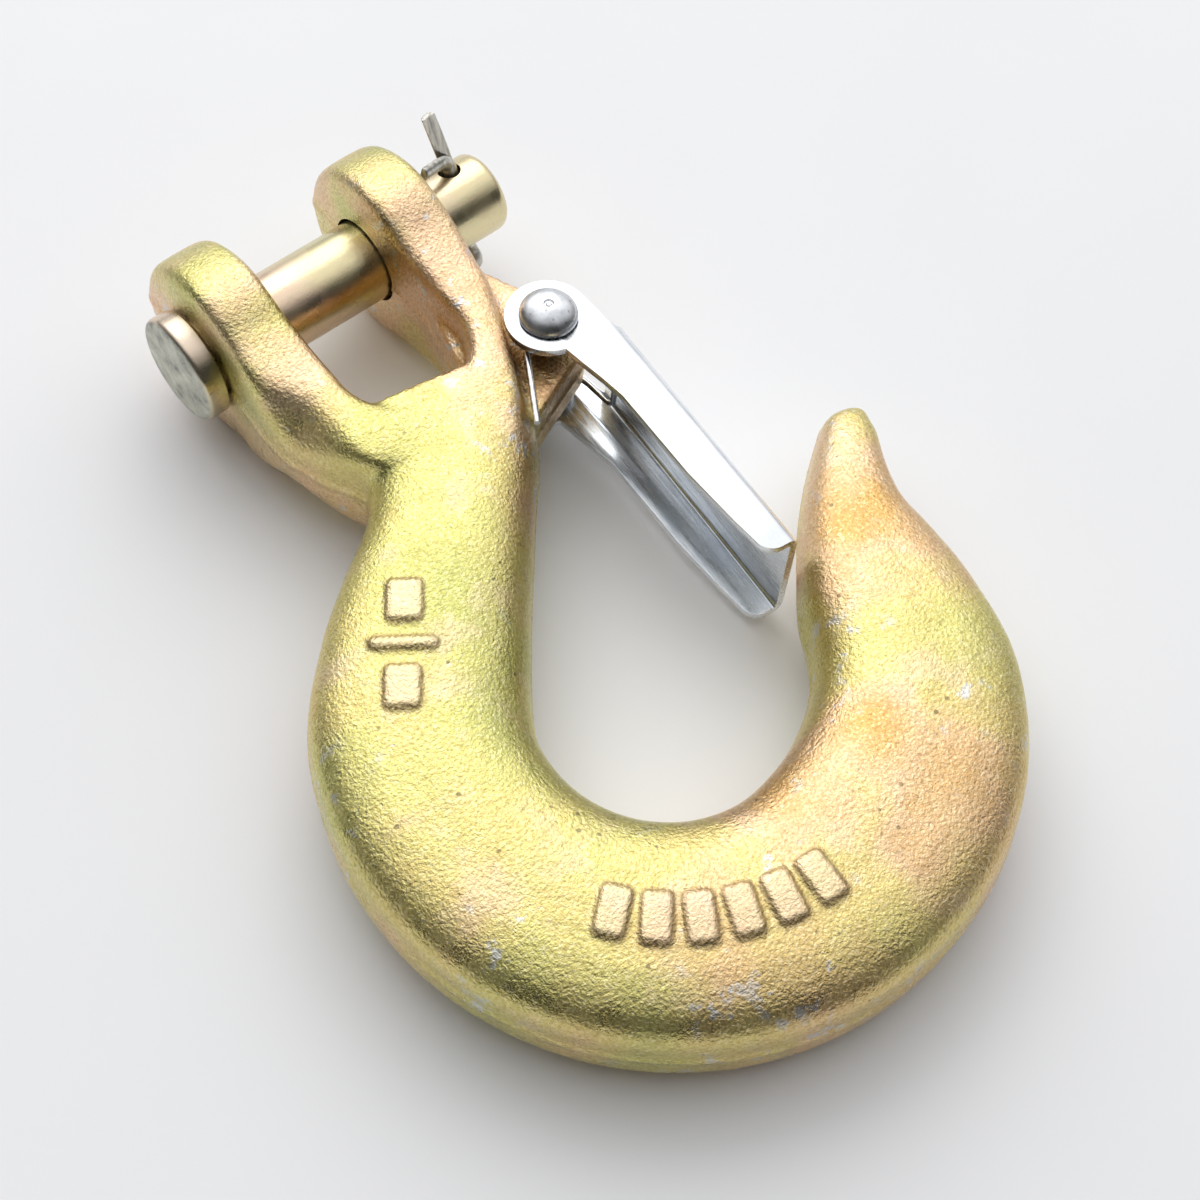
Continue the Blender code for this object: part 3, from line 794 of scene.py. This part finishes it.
def chromate(look, low, high):
    """Yellow zinc colour: gold that drifts to green, pink and orange in bands."""
    drift = look.noise(34, 3, 0.55)
    gold = look.ramp(drift, [(0.30, (0.52, 0.52, 0.17)), (0.42, (0.66, 0.60, 0.21)),
                             (0.53, (0.74, 0.60, 0.23)), (0.61, (0.78, 0.52, 0.29)),
                             (0.72, (0.68, 0.40, 0.14))])
    patches = look.span(look.noise(95, 3, 0.6), low, high)
    return look.mix(look.math("MULTIPLY", patches, 0.42), gold, (0.84, 0.62, 0.46))


def forging_material():
    look = Look("yellow chromate forging")
    color = chromate(look, 0.50, 0.68)
    rosy = look.math("MULTIPLY", look.span(look.axis("Y"), -34 * MM, -6 * MM),
                     look.span(look.noise(60, 3), 0.34, 0.60))
    color = look.mix(look.math("MULTIPLY", rosy, 0.75), color, (0.84, 0.56, 0.38))
    # Darker orange-brown in patches towards the bottom of the bowl: partly the zinc's own tint, partly
    # painted shade.
    rim = look.math("MULTIPLY", look.span(look.axis("Y"), -118 * MM, -98 * MM, 1.0, 0.0),
                    look.span(look.noise(50, 3), 0.36, 0.60))
    color = look.mix(look.math("MULTIPLY", rim, 0.6), color, (0.70, 0.46, 0.22))
    # Painted shade: dark brown round the latch lug, in the recess between the clevis and the latch's flanges.
    lug = Vector((RIVET_X - 3 * MM, RIVET_Y - 2 * MM, 0))
    color = look.mix(look.math("MULTIPLY", look.near(lug, 6 * MM, 7 * MM), 0.65), color, (0.50, 0.24, 0.12))
    fine = look.noise(2300, 3, 0.6)
    # Pale fine specks: partly the grain of the zinc, partly a painted sparkle.
    color = look.mix(look.math("MULTIPLY", look.span(fine, 0.50, 0.66), 0.38), color, (0.96, 0.86, 0.56))
    dark_grain = look.math("MULTIPLY", look.span(fine, 0.34, 0.47, 1.0, 0.0), 0.42)
    color = look.mix(dark_grain, color, (0.38, 0.27, 0.09))
    worn = look.math("MULTIPLY", look.span(look.noise(330, 4, 0.6), 0.58, 0.66),
                     look.span(look.noise(45), 0.46, 0.60))
    color = look.mix(look.math("MULTIPLY", worn, 0.8), color, (0.66, 0.68, 0.70))
    specks = look.math("MULTIPLY", look.span(look.cells(420), 0.10, 0.16, 1.0, 0.0),
                       look.span(look.noise(160), 0.55, 0.62))
    color = look.mix(look.math("MULTIPLY", specks, 0.7), color, (0.16, 0.12, 0.07))
    pad = look.attribute("pad")
    color = look.mix(look.math("MULTIPLY", pad, 0.45), color, (0.92, 0.70, 0.54))
    # Painted shadow: a dark brown band on the pads' sloping sides, as if the raised pads shaded the face
    # round them.
    outline = look.math("MULTIPLY", look.math("MULTIPLY", pad, look.math("SUBTRACT", 1.0, pad)), 2.6)
    color = look.mix(outline, color, (0.30, 0.20, 0.08))
    look.bump([(look.noise(420, 3, 0.5), 0.22 * MM, 0.6), (look.noise(2100, 3, 0.6), 0.19 * MM, 1.0)])
    roughness = look.span(look.noise(240, 3), 0.3, 0.7, 0.22, 0.36)
    return look.finish(color, roughness)


def pin_material():
    look = Look("yellow zinc pin")
    color = chromate(look, 0.50, 0.66)
    color = look.mix(0.5, color, (0.76, 0.66, 0.55))
    lines = look.noise(260, 3, 0.6, look.stretched((6.0, 6.0, 0.7)))
    color = look.mix(look.math("MULTIPLY", look.span(lines, 0.5, 0.75), 0.4), color, (0.56, 0.58, 0.36))
    head_face = look.span(look.axis("Z"), PIN_HEAD_X - PIN_HEAD_THICKNESS + 0.1 * MM,
                          PIN_HEAD_X - PIN_HEAD_THICKNESS + 0.5 * MM, 1.0, 0.0)
    dull = look.ramp(look.noise(300, 5, 0.7), [(0.34, (0.10, 0.09, 0.07)), (0.46, (0.36, 0.36, 0.28)),
                                               (0.62, (0.55, 0.55, 0.44)), (0.75, (0.72, 0.71, 0.62))])
    color = look.mix(head_face, color, dull)
    head = look.span(look.axis("Z"), PIN_HEAD_X, PIN_HEAD_X + 0.2 * MM, 1.0, 0.0)
    color = look.mix(look.math("MULTIPLY", head, 0.25), color, (0.70, 0.70, 0.66))
    look.bump([(look.noise(700, 3, 0.6), 0.05 * MM, 0.45), (lines, 0.03 * MM, 0.35)])
    roughness = look.math("ADD", look.span(look.noise(200, 3), 0.3, 0.7, 0.22, 0.34),
                          look.math("MULTIPLY", head_face, 0.16))
    return look.finish(color, roughness)


def cotter_material():
    look = Look("drawn steel cotter")
    streaks = look.noise(500, 4, 0.6, look.stretched((4.0, 4.0, 0.5)))
    color = look.ramp(streaks, [(0.3, (0.30, 0.29, 0.26)), (0.5, (0.56, 0.54, 0.48)),
                                (0.7, (0.74, 0.73, 0.68))])
    look.bump([(streaks, 0.04 * MM, 0.5)])
    return look.finish(color, look.span(look.noise(300), 0.3, 0.7, 0.26, 0.42))


def latch_material():
    look = Look("bright zinc latch")
    flakes = look.noise(130, 4, 0.6)
    color = look.ramp(flakes, [(0.32, (0.78, 0.81, 0.86)), (0.50, (0.88, 0.90, 0.93)),
                               (0.66, (0.95, 0.96, 0.97))])
    # Painted shade: the channel's inner faces, below the web and between the flanges, turn a darker mottled
    # blue-grey.
    inside = look.math("MULTIPLY", look.span(look.axis("Y"), 6.2 * MM, 6.9 * MM, 1.0, 0.0),
                       look.span(look.math("ABSOLUTE", look.axis("Z")), 7.7 * MM, 8.1 * MM, 1.0, 0.0))
    painted_inner_shade = look.ramp(look.noise(170, 5, 0.65), [(0.34, (0.30, 0.38, 0.47)), (0.52, (0.58, 0.68, 0.77)),
                                                   (0.68, (0.72, 0.79, 0.86))])
    color = look.mix(look.math("MULTIPLY", inside, 0.55), color, painted_inner_shade)
    scratches = look.noise(420, 2, 0.5, look.stretched((0.35, 5.0, 5.0)))
    look.bump([(look.noise(240, 3), 0.05 * MM, 0.35), (scratches, 0.02 * MM, 0.4)])
    return look.finish(color, look.span(scratches, 0.35, 0.7, 0.20, 0.34))


def rivet_material():
    look = Look("satin rivet")
    color = look.ramp(look.noise(260, 4, 0.6), [(0.34, (0.44, 0.45, 0.46)), (0.5, (0.66, 0.67, 0.69)),
                                                (0.68, (0.84, 0.85, 0.86))])
    pits = look.span(look.cells(900), 0.10, 0.22, 1.0, 0.0)
    color = look.mix(look.math("MULTIPLY", pits, 0.5), color, (0.20, 0.20, 0.20))
    look.bump([(look.noise(900, 3), 0.05 * MM, 0.45)])
    return look.finish(color, look.span(look.noise(400), 0.3, 0.7, 0.24, 0.38))


def wire_material():
    look = Look("spring wire")
    streaks = look.noise(700, 3, 0.6)
    color = look.ramp(streaks, [(0.35, (0.42, 0.43, 0.44)), (0.65, (0.78, 0.79, 0.80))])
    look.bump([(streaks, 0.02 * MM, 0.4)])
    return look.finish(color, look.span(streaks, 0.3, 0.7, 0.18, 0.30))


def floor_material():
    look = Look("pale floor", 0.0)
    color = look.ramp(look.noise(9, 4, 0.6), [(0.3, (0.95, 0.95, 0.955)), (0.7, (0.97, 0.97, 0.975))])
    look.bump([(look.noise(220, 4), 0.1 * MM, 0.15)])
    return look.finish(color, look.span(look.noise(30), 0.3, 0.7, 0.75, 0.85))


def floor():
    """A pale board that the ears and the bowl both touch, so it slopes up a little towards the bowl."""
    bm = bmesh.new()
    bmesh.ops.create_grid(bm, x_segments=1, y_segments=1, size=FLOOR_HALF_SIZE)
    board = object_from_bmesh("floor", bm, bpy.context.scene.collection, HOOK_ORIGIN)
    board.location.z = -FLOOR_DROP
    board.rotation_euler.x = FLOOR_SLOPE
    board.data.materials.append(floor_material())


def area_light(name, direction, distance, size, power, color=(1, 1, 1)):
    light = bpy.data.lights.new(name, "AREA")
    light.shape = "RECTANGLE"
    light.size, light.size_y = size
    light.energy = power
    light.color = color
    lamp = bpy.data.objects.new(name, light)
    lamp.location = Vector(direction).normalized() * distance
    lamp.rotation_euler = Vector(direction).to_track_quat("Z", "Y").to_euler()
    bpy.context.scene.collection.objects.link(lamp)


def studio():
    """A pale studio: one softbox beyond the clevis, and a sky that brightens towards one direction."""
    world = bpy.data.worlds.new("studio")
    bpy.context.scene.world = world
    world.use_nodes = True
    tree = world.node_tree
    background = tree.nodes["Background"]
    background.inputs["Color"].default_value = (0.97, 0.98, 1.0, 1.0)
    toward_bright = tree.nodes.new("ShaderNodeVectorMath")
    toward_bright.operation = "DOT_PRODUCT"
    toward_bright.inputs[1].default_value = BRIGHT_DIRECTION
    coords = tree.nodes.new("ShaderNodeTexCoord")
    tree.links.new(coords.outputs["Generated"], toward_bright.inputs[0])
    brightness = tree.nodes.new("ShaderNodeMapRange")
    brightness.interpolation_type = "SMOOTHSTEP"
    brightness.inputs["From Min"].default_value = 0.25
    brightness.inputs["From Max"].default_value = 0.88
    brightness.inputs["To Min"].default_value = 0.05
    brightness.inputs["To Max"].default_value = 1.22
    tree.links.new(toward_bright.outputs["Value"], brightness.inputs["Value"])
    tree.links.new(brightness.outputs["Result"], background.inputs["Strength"])
    area_light("key softbox", (0.45, 0.95, 1.0), 1.0, (1.0, 0.8), 3.4)
    bpy.context.scene.view_settings.view_transform = "Standard"


def camera():
    """Above the bowl's outer side, looking down on the hook at about 30 degrees off its normal."""
    right = Vector((0.7681, -0.6381, 0.0533))
    up = Vector((0.5323, 0.6827, 0.5006))
    back = Vector((-0.3558, -0.3561, 0.8640))
    data = bpy.data.cameras.new("camera")
    data.lens = 67.64
    data.sensor_width = 36.0
    data.clip_start = 0.01
    data.clip_end = 20.0
    eye = bpy.data.objects.new("camera", data)
    eye.matrix_world = Matrix.Translation(CAMERA_PLACE + HOOK_ORIGIN) @ Matrix(
        (right, up, back)).transposed().to_4x4()
    bpy.context.scene.collection.objects.link(eye)
    bpy.context.scene.camera = eye


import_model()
looks = new_collection("looks")
cutters = new_collection("cutters")
pieces = [
    (forging(looks, cutters), "hook_body", "forging", forging_material()),
    (pin_look(looks, cutters), "clevis_pin", "pin", pin_material()),
    (cotter_look(looks), "cotter_pin", "cotter", cotter_material()),
    (latch_look(looks, cutters), "latch", "latch_sheet", latch_material()),
    (rivet_look(looks), "latch_rivet", "rivet", rivet_material()),
    (spring_look(looks), "latch_spring", "spring_wire", wire_material()),
]
for cutter in list(cutters.objects):
    bpy.data.objects.remove(cutter, do_unlink=True)
bodies = {"clevis_pin": "pin", "cotter_pin": "pin", "latch": "latch"}
for piece, node, slot_name, material in pieces:
    piece.data.materials.clear()
    piece.data.materials.append(material)
    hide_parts(node)
    if node != "latch_spring":
        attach(piece, bodies.get(node, "hook"))
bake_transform(pieces[-1][0])
floor()
studio()
camera()
